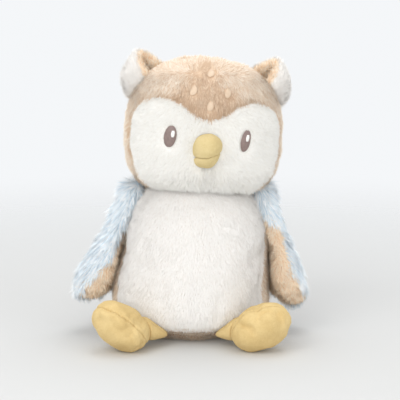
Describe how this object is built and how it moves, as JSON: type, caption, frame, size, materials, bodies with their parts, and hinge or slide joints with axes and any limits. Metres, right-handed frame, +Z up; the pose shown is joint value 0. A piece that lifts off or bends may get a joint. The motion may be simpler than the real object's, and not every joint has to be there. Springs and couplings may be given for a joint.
{
  "type": "plush owl",
  "caption": "Sitting stuffed toy owl with a heart-shaped face, folded ears, hanging wings and soft feet.",
  "frame": {"origin": "middle of the flat seat, on the surface that the toy sits on", "axes": "+Z up, -Y the way the face looks, +X to the viewer's right"},
  "size_m": [0.1908, 0.1512, 0.2366],
  "materials": {
    "cream_plush": "matte",
    "white_plush": "matte",
    "tan_plush": "matte",
    "tan_lining": "matte",
    "blue_plush": "matte",
    "yellow_suede": "matte",
    "pale_suede": "matte",
    "brown_thread": "satin",
    "white_thread": "satin",
    "cream_thread": "satin",
    "filling": "matte",
    "pouch_cloth": "matte"
  },
  "bodies": {
    "body": {"belly_panel": "white_plush", "back_left": "tan_plush", "back_right": "tan_plush", "seat_panel": "tan_plush", "body_stuffing": "filling", "bean_pouch": "pouch_cloth"},
    "neck": {"neck_plug": "filling"},
    "head": {"face_left": "cream_plush", "face_right": "cream_plush", "hood_front": "tan_plush", "hood_back_left": "tan_plush", "hood_back_right": "tan_plush", "head_stuffing": "filling", "eye_left": "brown_thread", "eye_right": "brown_thread", "eye_glint_left": "white_thread", "eye_glint_right": "white_thread", "forehead_drop_top": "cream_thread", "forehead_drop_left": "cream_thread", "forehead_drop_right": "cream_thread", "forehead_drop_low": "cream_thread", "beak_upper": "pale_suede", "beak_lower": "pale_suede", "beak_stuffing": "filling", "ear_back_left": "white_plush", "ear_lining_left": "tan_lining", "ear_back_right": "white_plush", "ear_lining_right": "tan_lining"},
    "wing_left": {"wing_outer_left": "blue_plush", "wing_lining_left": "tan_lining", "wing_wadding_left": "filling"},
    "leg_left": {"leg_left": "yellow_suede", "foot_upper_left": "yellow_suede", "foot_sole_left": "yellow_suede", "foot_stuffing_left": "filling"},
    "wing_right": {"wing_outer_right": "blue_plush", "wing_lining_right": "tan_lining", "wing_wadding_right": "filling"},
    "leg_right": {"leg_right": "yellow_suede", "foot_upper_right": "yellow_suede", "foot_sole_right": "yellow_suede", "foot_stuffing_right": "filling"}
  },
  "joints": [
    {"name": "head_nod", "type": "hinge", "parent": "body", "child": "neck", "pos_m": [0.00487, 0, 0.082], "axis": [1, 0, 0], "range_deg": [-8, 8], "stiffness_Nm_per_rad": 1.5},
    {"name": "head_turn", "type": "hinge", "parent": "neck", "child": "head", "pos_m": [0.00487, 0, 0.082], "axis": [0.0593, 0, 0.9982], "range_deg": [-20, 20], "stiffness_Nm_per_rad": 0.3},
    {"name": "wing_lift_left", "type": "hinge", "parent": "body", "child": "wing_left", "pos_m": [-0.04864, 0, 0.11675], "axis": [0, 1, 0], "range_deg": [0, 55]},
    {"name": "wing_lift_right", "type": "hinge", "parent": "body", "child": "wing_right", "pos_m": [0.05838, 0, 0.11675], "axis": [0, -1, 0], "range_deg": [0, 55]},
    {"name": "leg_swing_left", "type": "hinge", "parent": "body", "child": "leg_left", "pos_m": [-0.02112, -0.05363, 0.00933], "axis": [-0.466, 0.8848, 0], "range_deg": [-75, 0]},
    {"name": "leg_swing_right", "type": "hinge", "parent": "body", "child": "leg_right", "pos_m": [0.02249, -0.05363, 0.00933], "axis": [-0.4806, -0.8769, 0], "range_deg": [-75, 0]}
  ]
}
